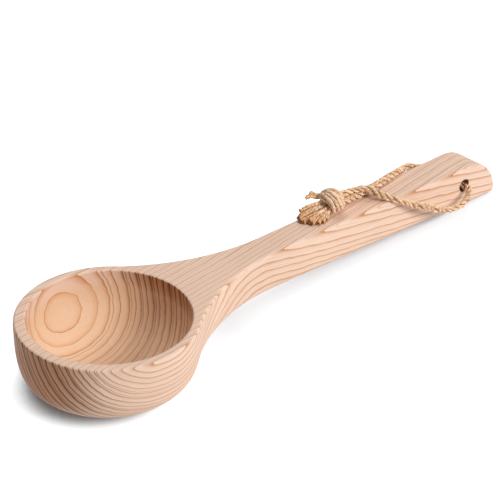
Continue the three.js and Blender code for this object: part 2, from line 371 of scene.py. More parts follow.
# Wood: growth rings about two pith lines, one for the bowl and one for the handle, blended at the neck and
# cut at every angle by the carving. Lengths are in millimetres, and a line's widths in shares of a year
wood = {
    "bowlPith": {
        "start": (-67.8, 19.7),  # across and up, at the bowl's axis
        "slope": (0.156, 0.018),
        "curve": (0, 0),
        "curveFrom": 0.0,
        "growth": [  # distance from the pith, year
            (14.3, -5), (30.3, 0), (43.3, 4), (60.5, 9), (78.8, 13), (90.9, 16), (97.7, 18), (116.7, 22),
            (118.0, 22.45), (122.5, 22.95), (126.5, 24), (142.5, 28),
        ],
    },
    "handlePith": {
        "start": (-117.13, 27.71),
        "slope": (0.2495, 0.1615),
        "curve": (-0.0004406, -0.0006665),
        "curveFrom": 100.0,
        "growth": [
            (38.5, -7), (72.5, 1), (76.8, 2), (81.9, 3), (90.3, 5), (93.8, 6), (102.6, 9), (107.0, 10),
            (126.3, 13.2), (145.0, 16.4),
        ],
    },
    "neckBlend": (60.0, 110.0),
    # The trunk was not quite round: the bowl's rings bend away from true circles
    "bend": {
        "reach": (-55.0, 80.0),
        "unit": 50.0,
        "unitDown": 20.0,
        "middleDown": -18.0,
        "along": (-0.28, 2.27, 2.29),
        "across": (0, 0.39, -3.10),
        "down": (0, 0, 0.67),
        "bulge": (1.97, 2.44, -3.90),
    },
    "wavers": [(0.035, 0.4), (0.2, 0.75)],  # noise scale, how far a ring strays
    "waverStretch": (0.35, 1, 1),
    "waverDetail": 1.5,
    # Colours within a year, and the orange tips where the carving cuts the rings flat
    "pale": (0.86, 0.638, 0.512),
    "early": (0.79, 0.50, 0.335),
    "earlyOver": 0.5,
    "earlyTip": (0.62, 0.29, 0.13),
    "tipCut": (0.25, 0.75),
    "tipLineCore": 0.04,
    "tipLineWidth": 0.22,
    # The dark line that starts each year, darkest and widest across the grain on faces turned to -X, where
    # the key lamp leaves the wood in shade: partly the grain, partly painted shade
    "late": (0.52, 0.205, 0.06),
    "lateAcrossInShade": (0.15, 0.055, 0.018),
    "shadedAcrossFacing": (-0.4, -0.85),
    "lineStrength": (0.75, 1.0),
    "lineOnset": 0.004,
    "lineOnsetByCut": 0.03,
    "lineCore": (0.09, 0.2),  # with the grain, across it
    "lineWidth": (0.36, 0.62),
    "lineFade": 0.05,
    "lineFading": 2.0,
    "faintLine": 0.75,
    "faintInside": 0.6,
    "faintTop": (0.6, 0.8),  # on the bowl, on the handle
    "topFacing": (0.6, 0.95),
    "quietYear": 21,  # the ring outside the innermost circle in the hollow
    "quietLine": 0.4,
    # A second line within the year
    "secondAt": (0.4, 0.75),
    "secondLine": 0.8,
    "closeWidth": 0.6,
    "closeUpTo": (21.0, 21.2),
    "closeChance": (0.55, 0.75),
    "closeOnHandle": 0.8,
    "falseLine": 0.5,
    "falseWidth": 0.05,
    "falseChance": (0.3, 0.9),
    # Fibres and clouds of lighter and darker wood
    "noiseSpan": (0.3, 0.7),
    "fibreStretch": (0.05, 2.2, 2.2),
    "fibreDetail": 4.0,
    "fibreLightness": (0.95, 1.04),
    "cloudScale": 0.02,
    "cloudDetail": 2.0,
    "cloudLightness": (-0.03, 0.03),
    "hollowEdge": 1.0,
    "hollowTop": (-3.0, -0.5),
    # Painted light: the hollow warmer and a little darker, as by light bounced between its walls
    "paintedBounceInside": (0.955, 0.885, 0.745),
    "endGrain": (0.66, 0.42, 0.25),
    "endGrainFacing": (0.6, 1.0),
    "endGrainInside": 0.25,
    # Painted shade: dark brown on the bore of the hole
    "holeShade": (0.24, 0.12, 0.06),
    "holeShadeEdge": (0.1, 0.5),
    "roughness": (0.50, 0.62),
    "specular": 0.3,
    "lineRelief": 0.15,
    "fibreRelief": 0.5,
    "reliefStrength": 0.25,
    "reliefDepth": 0.2,
}


# From the pith line to a place in the wood, square to the ladle's length
def awayFrom(tree, pith, x, y, z):
    past = minus(tree, x, pith["curveFrom"])
    squared = times(tree, past, past)
    parts = []
    for axis, start, lean, curve in zip((y, z), pith["start"], pith["slope"], pith["curve"]):
        straight = timesPlus(tree, x, -lean, minus(tree, axis, start))
        parts.append(timesPlus(tree, squared, -curve, straight))
    return joined(tree, 0, *parts)


def bentInBowl(tree, distance, x, y, z):
    bend = wood["bend"]
    low, high = bend["reach"]
    along = ranged(tree, x, low, high, low / bend["unit"], high / bend["unit"])
    across = times(tree, y, 1 / bend["unit"])
    down = timesPlus(tree, z, 1 / bend["unitDown"], -bend["middleDown"] / bend["unitDown"])
    place = joined(tree, along, across, down)
    parts = {"along": along, "across": across, "down": down, "bulge": times(tree, across, across)}
    for key, part in parts.items():
        amount = vectors(tree, "DOT_PRODUCT", place, bend[key])
        distance = timesPlus(tree, part, amount, distance)
    return distance


def yearAt(tree, distance, growth):
    year = growth[0][1]
    for (near, first), (far, last) in zip(growth, growth[1:]):
        year = plus(tree, ranged(tree, distance, near, far, 0, last - first), year)
    return year


def makeWood():
    material, tree, shader = newMaterial("sanded_cedar")
    coordinates = put(tree, "ShaderNodeTexCoord").outputs
    place = made(tree, "ShaderNodeMapping", {
        "Vector": coordinates["Object"],
        "Location": ladleToRest.inverted().translation,
        "Rotation": (0, -tilt, 0),
        "Scale": (1 / mm, 1 / mm, 1 / mm),
    })
    x, y, z = put(tree, "ShaderNodeSeparateXYZ", {"Vector": place}).outputs
    onHandle = ranged(tree, x, *wood["neckBlend"], smooth=True)

    # The year at each place, and the time since it began
    bowlRadial, handleRadial = (awayFrom(tree, wood[key], x, y, z) for key in ("bowlPith", "handlePith"))
    fromBowlPith = bentInBowl(tree, vectors(tree, "LENGTH", bowlRadial), x, y, z)
    fromHandlePith = vectors(tree, "LENGTH", handleRadial)
    waverAt = vectors(tree, "MULTIPLY", place, wood["waverStretch"])
    wavers = []
    for scale, stray in wood["wavers"]:
        wavers.append(between(tree, noise(tree, waverAt, scale, wood["waverDetail"])["Fac"], -stray, stray))
    waver = plus(tree, *wavers)
    bowlYear = yearAt(tree, plus(tree, fromBowlPith, waver), wood["bowlPith"]["growth"])
    handleYear = yearAt(tree, plus(tree, fromHandlePith, waver), wood["handlePith"]["growth"])
    year = timesPlus(tree, onHandle, minus(tree, handleYear, bowlYear), bowlYear)
    yearNumber = maths(tree, "FLOOR", year)
    season = maths(tree, "FRACT", year)
    chance = put(tree, "ShaderNodeTexWhiteNoise", {"W": yearNumber}, noise_dimensions="1D").outputs["Value"]

    # How the carving meets the rings: cut is 0 where it lies flat on a ring and 1 where it is square to it
    bowlOutward, handleOutward = (vectors(tree, "NORMALIZE", radial) for radial in (bowlRadial, handleRadial))
    change = scaled(tree, vectors(tree, "SUBTRACT", handleOutward, bowlOutward), onHandle)
    outward = vectors(tree, "NORMALIZE", vectors(tree, "ADD", bowlOutward, change))
    flatness = vectors(tree, "DOT_PRODUCT", coordinates["Normal"], outward)
    cut = maths(tree, "SQRT", timesPlus(tree, flatness, times(tree, flatness, -1.0), 1.0))
    ahead, up = (turn.to_3x3() @ Vector(axis) for axis in ((1, 0, 0), (0, 0, 1)))
    facing = vectors(tree, "DOT_PRODUCT", coordinates["Normal"], ahead)
    upright = vectors(tree, "DOT_PRODUCT", coordinates["Normal"], up)
    fromAxis = vectors(tree, "SUBTRACT", place, (ladle["hollowOffset"], 0, 0))
    fromAxis = vectors(tree, "LENGTH", vectors(tree, "MULTIPLY", fromAxis, (1, 1, 0)))
    hollowRadius = ladle["hollowRadius"]
    inside = ranged(tree, fromAxis, hollowRadius - wood["hollowEdge"], hollowRadius, 1.0, 0.0)
    inside = times(tree, inside, ranged(tree, z, *wood["hollowTop"], 1.0, 0.0))
    outside = between(tree, inside, 1.0, 0.0)
    # Faces turned to -X, across the grain and away from the key lamp, in shade
    acrossGrainInShade = ranged(tree, facing, *wood["shadedAcrossFacing"])
    onTop = times(tree, ranged(tree, upright, *wood["topFacing"]), outside)

    # Painted shade: lines at full strength on faces turned to -X, which the key lamp leaves in shade, fainter
    # elsewhere
    contrast = between(tree, acrossGrainInShade, wood["faintLine"], between(tree, inside, 1.0, wood["faintInside"]))
    faintTop = between(tree, onHandle, *wood["faintTop"])
    contrast = times(tree, contrast, between(tree, onTop, 1.0, faintTop))
    quiet = times(tree, maths(tree, "COMPARE", yearNumber, wood["quietYear"], 0.5), inside)
    contrast = times(tree, contrast, between(tree, quiet, 1.0, wood["quietLine"]))

    # The rim and the top have two lines a year, the rest of the bowl only in some years
    close = times(tree, between(tree, onHandle, 1.0, 0.0), ranged(tree, chance, *wood["closeChance"]))
    closeOnTop = times(tree, onTop, between(tree, onHandle, 1.0, wood["closeOnHandle"]))
    close = times(tree, larger(tree, close, closeOnTop), ranged(tree, year, *wood["closeUpTo"], 1.0, 0.0))
    narrowing = between(tree, close, 1.0, wood["closeWidth"])

    # A line keeps its width where the carving cuts the rings flat, and is widest across the grain on the
    # shaded faces turned to -X, partly painted shade
    onset = timesPlus(tree, cut, wood["lineOnsetByCut"], wood["lineOnset"])
    core = times(tree, cut, between(tree, acrossGrainInShade, *wood["lineCore"]))
    core = larger(tree, times(tree, core, narrowing), times(tree, outside, wood["tipLineCore"]))
    width = times(tree, cut, between(tree, acrossGrainInShade, *wood["lineWidth"]))
    width = times(tree, plus(tree, width, wood["lineFade"]), narrowing)
    width = larger(tree, width, times(tree, outside, wood["tipLineWidth"]))

    def lineFrom(since):
        fading = ranged(tree, since, core, width, 1.0, 0.0)
        fading = maths(tree, "POWER", fading, wood["lineFading"])
        return times(tree, ranged(tree, since, 0.0, onset), fading)

    late = times(tree, lineFrom(season), between(tree, chance, *wood["lineStrength"]))
    secondAt = between(tree, chance, *wood["secondAt"])
    sinceSecond = maths(tree, "FRACT", plus(tree, season, minus(tree, 1.0, secondAt)))
    second = times(tree, lineFrom(sinceSecond), times(tree, close, wood["secondLine"]))
    late = times(tree, larger(tree, late, second), contrast)
    offSecond = maths(tree, "ABSOLUTE", minus(tree, season, secondAt))
    falseRing = ranged(tree, offSecond, 0.0, wood["falseWidth"], wood["falseLine"], 0.0)
    falseRing = times(tree, times(tree, falseRing, contrast), ranged(tree, chance, *wood["falseChance"]))
    late = larger(tree, late, falseRing)

    fibreAt = vectors(tree, "MULTIPLY", place, wood["fibreStretch"])
    fibre = noise(tree, fibreAt, 1.0, wood["fibreDetail"])["Fac"]
    cloud = noise(tree, place, wood["cloudScale"], wood["cloudDetail"])["Fac"]
    notTip = larger(tree, ranged(tree, cut, *wood["tipCut"]), inside)
    early = blended(tree, notTip, wood["earlyTip"], wood["early"])
    colour = blended(tree, ranged(tree, season, 0.0, wood["earlyOver"]), early, wood["pale"])
    # Painted shade: the lines turn darker still on faces turned to -X, the side in shade
    colour = blended(tree, late, colour, blended(tree, acrossGrainInShade, wood["late"], wood["lateAcrossInShade"]))
    lightness = ranged(tree, fibre, *wood["noiseSpan"], *wood["fibreLightness"])
    lightness = plus(tree, lightness, ranged(tree, cloud, *wood["noiseSpan"], *wood["cloudLightness"]))
    colour = blended(tree, 1.0, colour, joined(tree, lightness, lightness, lightness), "MULTIPLY")
    endOn = ranged(tree, maths(tree, "ABSOLUTE", facing), *wood["endGrainFacing"], smooth=True)
    endOn = times(tree, endOn, between(tree, inside, 1.0, wood["endGrainInside"]))
    colour = blended(tree, endOn, colour, wood["endGrain"], "MULTIPLY")
    # Painted light: the hollow's colour warmed as by light bounced between its walls
    colour = blended(tree, inside, colour, wood["paintedBounceInside"], "MULTIPLY")
    # Painted shade: the bore of the hole turns dark brown
    fromHole = vectors(tree, "MULTIPLY", vectors(tree, "SUBTRACT", place, holeInLadle), (1, 0, 1))
    fromEdge = minus(tree, vectors(tree, "LENGTH", fromHole), ladle["holeRadius"])
    colour = blended(tree, ranged(tree, fromEdge, *wood["holeShadeEdge"], 1.0, 0.0), colour, wood["holeShade"])
    tree.links.new(colour, shader.inputs["Base Color"])
    rough = ranged(tree, fibre, *wood["noiseSpan"], *wood["roughness"])
    tree.links.new(rough, shader.inputs["Roughness"])
    shader.inputs["Specular IOR Level"].default_value = wood["specular"]
    relief = timesPlus(tree, late, wood["lineRelief"], times(tree, fibre, wood["fibreRelief"]))
    addRelief(tree, shader, relief, wood)
    print("wood finish made:", len(tree.nodes), "nodes")
    return material


# Twine: strands laid round each other, each strand a bundle of twisted yarns, with short loose hairs
twine = {
    "diameter": 4.5,
    "strands": 3,
    "strandRadius": 1.044,
    "layLength": 15.5,
    "slackTurns": 0.6,
    "yarns": 8,
    "yarnRadius": 0.32,
    "yarnSpread": (0.82, 1.15),
    "yarnSides": 6,
    "yarnLay": 14.0,
    "step": 0.7,
    "unevenness": 0.72,
    "unevenScale": 420.0,
    "swelling": 0.17,
    "swellScale": 110.0,
    "swellSpan": (0.3, 0.7),
    "loosening": 0.0,
    "fray": 0.0,
    "frayPower": 8.0,
    "cutShare": 2.0,  # past the line's end, so that no end is cut
    "cutOver": 0.4,
    "hairLength": 1.5,
    "hairThickness": 0.05,
    "hairsPerArea": 0.2,
    "hairsFrom": 0.8,
    "hairGrowth": (0.35, 1.0),
    "hairSides": 3,
    "hairBend": {"Resolution": 4, "Start": (0, 0, -0.1), "Middle": (0.05, 0, 0.6), "End": (0.6, 0.25, 1.0)},
    # Colours: tan and cream yarns with streaks, dark painted shade in the gaps between them, cut ends
    "tan": (0.81, 0.45, 0.215),
    "cream": (1.0, 0.79, 0.60),
    "creamShare": (0.15, 0.75),
    "streakAround": 1.6,
    "streakAlong": 0.22,
    "streakShift": 90.0,
    "streakDetail": 3.0,
    "paleStreak": (0.42, 0.75),
    "darkStreak": (0.45, 0.2),
    # Painted shade for the gaps and crevices, and half of the dark streaks' colour
    "gap": (0.36, 0.16, 0.065),
    "gapOutness": (0.42, 0.78),
    "gapOpenness": (0.15, 0.6),
    "creviceReach": 1.2,
    "creviceSamples": 8,
    "mottleScale": 620.0,
    "mottleDetail": 2.0,
    "mottleSpan": (0.35, 0.65),
    "mottle": (0.76, 1.28),
    "amber": (0.94, 0.80, 0.63),
    "amberOver": (0.0, 0.7),
    "cut": (0.40, 0.17, 0.06),
    "cutFrom": (0.94, 1.0),
    "roughness": 0.82,
    "specular": 0.25,
    "reliefStrength": 0.5,
    "reliefDepth": 0.3,
}
layingInputs = {  # of the tree that lays the twine, by kind
    "Geometry": ["Line"],
    "Float": [
        "Step", "Core Radius", "Strand Offset", "Lay Length", "Yarn Offset", "Yarn Radius", "Yarn Lay",
        "Unevenness", "Swelling", "Loosening", "Fray", "Cut Share",
        "Hair Length", "Hair Thickness", "Hair Density",
    ],
    "Int": ["Strands", "Yarns", "Seed"],
    "Material": ["Finish"],
}


def stored(tree, geometry, name, value, kind="FLOAT"):
    sockets = {"Geometry": geometry, "Name": name, "Value": value}
    return made(tree, "GeometryNodeStoreNamedAttribute", sockets, data_type=kind, domain="POINT")


def readBack(tree, name, kind="FLOAT"):
    return made(tree, "GeometryNodeInputNamedAttribute", {"Name": name}, data_type=kind)


def circle(tree, sides):
    return made(tree, "GeometryNodeCurvePrimitiveCircle", {"Resolution": sides, "Radius": 1.0})


def tubes(tree, curves, profile, radius):
    sockets = {"Curve": curves, "Profile Curve": profile, "Scale": radius, "Fill Caps": True}
    return made(tree, "GeometryNodeCurveToMesh", sockets)


def growHairs(tree, given, skin):
    outer = maths(tree, "GREATER_THAN", readBack(tree, "outness"), twine["hairsFrom"])
    sown = {"Mesh": skin, "Selection": outer, "Density": given["Hair Density"], "Seed": given["Seed"]}
    roots = put(tree, "GeometryNodeDistributePointsOnFaces", sown).outputs
    bend = made(tree, "GeometryNodeCurveQuadraticBezier", twine["hairBend"])
    slim = maths(tree, "DIVIDE", given["Hair Thickness"], given["Hair Length"])
    hair = tubes(tree, bend, circle(tree, twine["hairSides"]), slim)
    anyWay = {0: (-1, -1, -1), 1: (1, 1, 1), "Seed": given["Seed"]}
    lean = made(tree, "FunctionNodeRandomValue", anyWay, data_type="FLOAT_VECTOR")
    leaning = vectors(tree, "ADD", roots["Normal"], lean)
    facing = made(tree, "FunctionNodeAlignRotationToVector", {"Vector": leaning}, axis="Z")
    shortest, longest = twine["hairGrowth"]
    anySize = {2: shortest, 3: longest, "Seed": given["Seed"]}
    grown = put(tree, "FunctionNodeRandomValue", anySize, data_type="FLOAT").outputs[1]
    length = times(tree, grown, given["Hair Length"])
    size = joined(tree, length, length, length)
    planted = {"Points": roots["Points"], "Instance": hair, "Rotation": facing, "Scale": size}
    return made(tree, "GeometryNodeInstanceOnPoints", planted)


def makeLayingTree():
    tree = bpy.data.node_groups.new("laid_twine", "GeometryNodeTree")
    tree.interface.new_socket("Twine", in_out="OUTPUT", socket_type="NodeSocketGeometry")
    for kind, names in layingInputs.items():
        for name in names:
            tree.interface.new_socket(name, in_out="INPUT", socket_type="NodeSocket" + kind)
    given = put(tree, "NodeGroupInput").outputs
    parameter = put(tree, "GeometryNodeSplineParameter").outputs
    position = made(tree, "GeometryNodeInputPosition")
    core = readBack(tree, "core", "FLOAT_VECTOR")
    share = readBack(tree, "share")
    slow = noise(tree, core, twine["swellScale"], 1.0)
    slack = put(tree, "ShaderNodeSeparateXYZ", {"Vector": slow["Color"]}).outputs["Y"]
    thin, thick = minus(tree, 1.0, given["Swelling"]), plus(tree, 1.0, given["Swelling"])
    bulge = ranged(tree, slow["Fac"], *twine["swellSpan"], thin, thick)
    nearEnd = maths(tree, "POWER", share, twine["frayPower"])
    frayed = timesPlus(tree, nearEnd, given["Fray"], 1.0)
    slackness = timesPlus(tree, minus(tree, share, 0.5), given["Loosening"], 1.0)

    # Copies of each line, wound round it at a set distance and pitch
    def wound(lines, copies, offset, pitch, hand):
        amount = {"Geometry": lines, "Amount": copies}
        many = put(tree, "GeometryNodeDuplicateElements", amount, domain="SPLINE").outputs
        start = maths(tree, "DIVIDE", many["Duplicate Index"], copies)
        turns = plus(tree, maths(tree, "DIVIDE", parameter["Length"], pitch), start)
        turns = timesPlus(tree, slack, twine["slackTurns"], turns)
        angle = times(tree, turns, hand * 2 * math.pi)
        normal = made(tree, "GeometryNodeInputNormal")
        tangent = made(tree, "GeometryNodeInputTangent")
        sideways = vectors(tree, "CROSS_PRODUCT", tangent, normal)
        outwards = vectors(tree, "ADD", scaled(tree, normal, maths(tree, "COSINE", angle)),
                           scaled(tree, sideways, maths(tree, "SINE", angle)))
        moved = {"Geometry": many["Geometry"], "Offset": scaled(tree, outwards, offset)}
        return made(tree, "GeometryNodeSetPosition", moved)

    def chanceOf(number):
        sockets = {"ID": number, "Seed": given["Seed"]}
        return put(tree, "FunctionNodeRandomValue", sockets, data_type="FLOAT").outputs[1]

    stepped = {"Curve": given["Line"], "Length": given["Step"]}
    line = made(tree, "GeometryNodeResampleCurve", stepped, mode="LENGTH")
    line = stored(tree, line, "core", position, "FLOAT_VECTOR")
    line = stored(tree, line, "share", parameter["Factor"])
    strandOffset = times(tree, times(tree, given["Strand Offset"], bulge), slackness)
    yarnOffset = times(tree, times(tree, given["Yarn Offset"], bulge), frayed)
    strands = wound(line, given["Strands"], strandOffset, given["Lay Length"], 1)
    yarns = wound(strands, given["Yarns"], yarnOffset, given["Yarn Lay"], -1)

    # Each yarn wanders a little, and has a tone and a thickness of its own
    spline = made(tree, "GeometryNodeInputIndex")
    spline = made(tree, "GeometryNodeFieldOnDomain", {0: spline}, data_type="INT", domain="CURVE")
    chance = chanceOf(spline)
    common = chanceOf(maths(tree, "FLOOR", maths(tree, "DIVIDE", spline, given["Yarns"])))
    tone = times(tree, plus(tree, chance, common), 0.5)
    wanderAt = vectors(tree, "ADD", position, joined(tree, 0, 0, chance))
    wander = noise(tree, wanderAt, twine["unevenScale"], 1.0)["Color"]
    wander = scaled(tree, vectors(tree, "SUBTRACT", wander, (0.5, 0.5, 0.5)), given["Unevenness"])
    yarns = made(tree, "GeometryNodeSetPosition", {"Geometry": yarns, "Offset": wander})
    yarns = stored(tree, yarns, "along", parameter["Length"])
    yarns = stored(tree, yarns, "tone", tone)
    allCut = plus(tree, given["Cut Share"], twine["cutOver"])
    yarns = stored(tree, yarns, "cutEnd", ranged(tree, share, given["Cut Share"], allCut))
    profile = stored(tree, circle(tree, twine["yarnSides"]), "round", position, "FLOAT_VECTOR")
    thickness = times(tree, given["Yarn Radius"], between(tree, chance, *twine["yarnSpread"]))
    skin = tubes(tree, yarns, profile, thickness)
    away = vectors(tree, "LENGTH", vectors(tree, "SUBTRACT", position, core))
    skin = stored(tree, skin, "outness", maths(tree, "DIVIDE", away, given["Core Radius"]))

    both = put(tree, "GeometryNodeJoinGeometry")
    for part in (growHairs(tree, given, skin), skin):
        tree.links.new(part, both.inputs[0])
    smooth = made(tree, "GeometryNodeSetShadeSmooth", {"Geometry": both.outputs[0]})
    real = made(tree, "GeometryNodeRealizeInstances", {"Geometry": smooth})
    finish = {"Geometry": real, "Material": given["Finish"]}
    put(tree, "NodeGroupOutput", {"Twine": made(tree, "GeometryNodeSetMaterial", finish)})
    return tree


def makeTwineFinish():
    material, tree, shader = newMaterial("jute")

    def read(name, output="Fac"):
        return put(tree, "ShaderNodeAttribute", attribute_name=name).outputs[output]

    along = times(tree, read("along"), 1 / mm)
    tone = read("tone")
    cutEnd = read("cutEnd")
    around = scaled(tree, read("round", "Vector"), twine["streakAround"])
    shift = timesPlus(tree, tone, twine["streakShift"], times(tree, along, twine["streakAlong"]))
    streakAt = vectors(tree, "ADD", around, joined(tree, 0, 0, shift))
    streak = noise(tree, streakAt, 1.0, twine["streakDetail"])["Fac"]
    colour = blended(tree, between(tree, tone, *twine["creamShare"]), twine["tan"], twine["cream"])
    colour = blended(tree, ranged(tree, streak, *twine["paleStreak"]), colour, twine["cream"])
    dark = blended(tree, 0.5, twine["tan"], twine["gap"])
    colour = blended(tree, ranged(tree, streak, *twine["darkStreak"]), colour, dark)
    # Painted shade: darker towards the twine's core, in the gaps between the strands
    outer = ranged(tree, read("outness"), *twine["gapOutness"], smooth=True)
    colour = blended(tree, outer, twine["gap"], colour)
    inPlace = put(tree, "ShaderNodeTexCoord").outputs["Object"]
    mottle = noise(tree, inPlace, twine["mottleScale"], twine["mottleDetail"])["Fac"]
    mottle = ranged(tree, mottle, *twine["mottleSpan"], *twine["mottle"])
    colour = blended(tree, 1.0, colour, joined(tree, mottle, mottle, mottle), "MULTIPLY")
    # Painted shade: darker in the crevices, where little is open round a point
    openness = opennessTo(tree, twine["creviceReach"] * mm, twine["creviceSamples"])
    colour = blended(tree, ranged(tree, openness, *twine["gapOpenness"], smooth=True), twine["gap"], colour)
    colour = blended(tree, ranged(tree, cutEnd, *twine["amberOver"]), colour, twine["amber"], "MULTIPLY")
    colour = blended(tree, ranged(tree, cutEnd, *twine["cutFrom"]), colour, twine["cut"])
    tree.links.new(colour, shader.inputs["Base Color"])
    shader.inputs["Roughness"].default_value = twine["roughness"]
    shader.inputs["Specular IOR Level"].default_value = twine["specular"]
    addRelief(tree, shader, streak, twine)
    print("twine finish made:", len(tree.nodes), "nodes")
    return material


# A smooth line through given points, evened out by the square root of their distances
def smoothRoute(points, stepsEach=10):
    p = np.asarray(points, float)
    p = np.vstack([2 * p[0] - p[1], p, 2 * p[-1] - p[-2]])
    route = []
    for a, b, c, d in zip(p[:-3], p[1:-2], p[2:-1], p[3:]):
        ab, bc, cd = (np.linalg.norm(v) ** 0.5 for v in (b - a, c - b, d - c))
        leave = ((b - a) / ab - (c - a) / (ab + bc) + (c - b) / bc) * bc
        arrive = ((c - b) / bc - (d - b) / (bc + cd) + (d - c) / cd) * bc
        for t in np.arange(stepsEach) / stepsEach:
            cubic = 2 * b - 2 * c + leave + arrive
            square = -3 * b + 3 * c - 2 * leave - arrive
            route.append(((cubic * t + square) * t + leave) * t + b)
    return np.array(route + [p[-2]])


def layTwine(name, lines, tree, material, changes):
    sizes = {**twine, **changes}
    data = bpy.data.curves.new(name + "_lines", "CURVE")
    data.dimensions = "3D"
    for points in lines:
        spline = data.splines.new("POLY")
        spline.points.add(len(points) - 1)
        spline.points.foreach_set("co", np.c_[atRest(points), np.ones(len(points))].ravel())
    line = bpy.data.objects.new(name + "_lines", data)
    scene.collection.objects.link(line)
    laying = line.modifiers.new("laying", "NODES")
    laying.node_group = tree
    settings = {
        "Step": sizes["step"] * mm,
        "Core Radius": sizes["diameter"] / 2 * mm,
        "Strand Offset": (sizes["diameter"] / 2 - sizes["strandRadius"]) * mm,
        "Lay Length": sizes["layLength"] * mm,
        "Yarn Offset": (sizes["strandRadius"] - sizes["yarnRadius"]) * mm,
        "Yarn Radius": sizes["yarnRadius"] * mm,
        "Yarn Lay": sizes["yarnLay"] * mm,
        "Unevenness": sizes["unevenness"] * mm,
        "Swelling": sizes["swelling"],
        "Loosening": sizes["loosening"],
        "Fray": sizes["fray"],
        "Cut Share": sizes["cutShare"],
        "Hair Length": sizes["hairLength"] * mm,
        "Hair Thickness": sizes["hairThickness"] / 2 * mm,
        "Hair Density": sizes["hairsPerArea"] / mm ** 2,
        "Strands": sizes["strands"],
        "Yarns": sizes["yarns"],
        "Seed": sizes["seed"],
        "Finish": material,
    }
    for socket in tree.interface.items_tree:
        if socket.name in settings:
            laying[socket.identifier] = settings[socket.name]
    depsgraph = bpy.context.evaluated_depsgraph_get()
    laid = line.evaluated_get(depsgraph)
    mesh = bpy.data.meshes.new_from_object(laid, preserve_all_data_layers=True, depsgraph=depsgraph)
    bpy.data.objects.remove(line)
    bpy.data.curves.remove(data)
    mesh.name = name
    print(name, "laid:", len(mesh.vertices), "points,", len(mesh.polygons), "faces")
    piece = newPiece(name, mesh, material)
    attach(piece, "hanging_loop")
    return piece


# Strands that lie by themselves, as in the knot and the tails
def layStrands(name, lines, tree, material, sizes):
    single = {"strands": 1, "diameter": 2 * sizes["strandRadius"]}
    return layTwine(name, lines, tree, material, {**sizes, **single})


# The loop: two legs from the middle of the hole, out of its two mouths and up over the handle to the knot
loop = {
    "nearLeg": {
        "route": [
            (289.0, 0, -14.0), (289.0, -6.4, -14.0), (289.0, -13.0, -14.0), (288.8, -15.4, -14.1),
            (286.4, -18.3, -15.2), (281.8, -20.5, -17.2), (274.0, -22.3, -18.1), (266.0, -22.8, -17.8),
            (257.0, -22.4, -15.9), (247.0, -21.4, -11.6), (238.0, -19.6, -7.3), (230.0, -16.9, -3.9),
            (224.0, -14.7, -1.0), (219.2, -13.1, 1.6), (216.2, -10.2, 2.8), (212.9, -5.8, 3.9),
            (209.8, -1.2, 6.0), (206.2, 2.8, 7.3), (201.0, 4.8, 7.4), (194.5, 5.4, 7.8),
            (187.5, 5.6, 8.2), (183.5, 5.4, 8.6),
        ],
        "sizes": {"seed": 1, "diameter": 4.8, "loosening": 0.08},
    },
    "farLeg": {
        "route": [
            (289.0, 0, -14.0), (289.0, 6.4, -14.0), (289.0, 13.0, -14.0), (288.8, 15.4, -14.0),
            (286.6, 17.2, -13.3), (282.2, 17.2, -11.4), (276.5, 16.0, -8.0), (269.4, 15.1, -3.8),
            (262.9, 15.1, -1.0), (255.8, 14.3, -0.2), (248.6, 12.4, 1.2), (241.3, 10.7, 2.1),
            (234.0, 9.2, 2.4), (227.0, 7.8, 2.6), (219.2, 6.3, 2.6), (212.6, 5.4, 2.7),
            (205.0, 5.0, 2.9), (197.0, 5.0, 3.1), (187.5, 4.6, 3.4), (183.5, 4.2, 4.8),
        ],
        "sizes": {"seed": 2, "diameter": 5.3},
    },
    "looseSeed": 4,  # for the knot's and the tails' uneven lines
}
knot = {
    "centre": (178.4, 4.3, 7.7),
    "halfLength": 8.4,
    "radius": 8.6,
    "leastDome": 0.2,
    "strands": 6,
    "layers": [0.0, 2.2],
    "firstAt": -6.2,
    "lastAt": 2.6,
    "gatheredAt": -5.0,
    "gatherOver": 60.0,
    "slant": 3.2,
    "slantMiddle": -2.2,
    "slantReach": 5.6,
    "from": 10.0,  # degrees round the knot, 90 at the top
    "to": 256.0,
    "pointsEach": 64,
    "tuck": 3.2,
    "tuckOver": 45.0,
    "unevenness": 0.5,
    "sizes": {"seed": 3, "strandRadius": 1.1, "yarnLay": 11.0},
}
tails = {
    "upper": {
        "root": [(180.0, 6.0, 9.6), (175.6, 8.8, 10.6), (171.9, 11.4, 10.2)],
        "ends": [
            (170.8, 15.9, 11.2), (169.4, 15.2, 11.2), (168.0, 14.6, 10.4), (166.6, 15.2, 10.0),
            (165.8, 14.6, 9.2),
        ],
        "sizes": {"seed": 5, "strandRadius": 0.9, "yarnRadius": 0.3},
    },
    "lower": {
        "root": [(182.0, 4.2, 7.4), (177.5, 4.4, 6.4), (173.6, 4.6, 5.0)],
        "ends": [
            (157.4, 11.0, 5.0), (159.6, 10.6, 5.6), (156.8, 9.8, 2.8), (158.2, 10.2, 3.6),
            (158.8, 9.6, 1.6), (162.4, 9.8, 2.2), (155.2, 9.2, 2.2), (156.0, 8.6, 3.4),
            (153.2, 8.2, 2.2), (152.8, 6.8, 3.4), (153.2, 5.2, 1.6), (153.6, 3.6, 1.5),
            (155.6, 1.8, 1.6), (155.8, 0.4, 3.0), (156.4, -1.4, 1.7), (159.6, -3.6, 1.6),
            (163.0, -4.2, 1.5), (166.8, -3.0, 1.5),
        ],
        "sizes": {"seed": 6, "strandRadius": 1.1},
    },
    "squeeze": (0, 0.42, 1.0),
    "sag": 0.3,
    "wobble": 0.5,
    "sizes": {"yarnLay": 12.0, "fray": 0.35, "cutShare": 0.6},
}


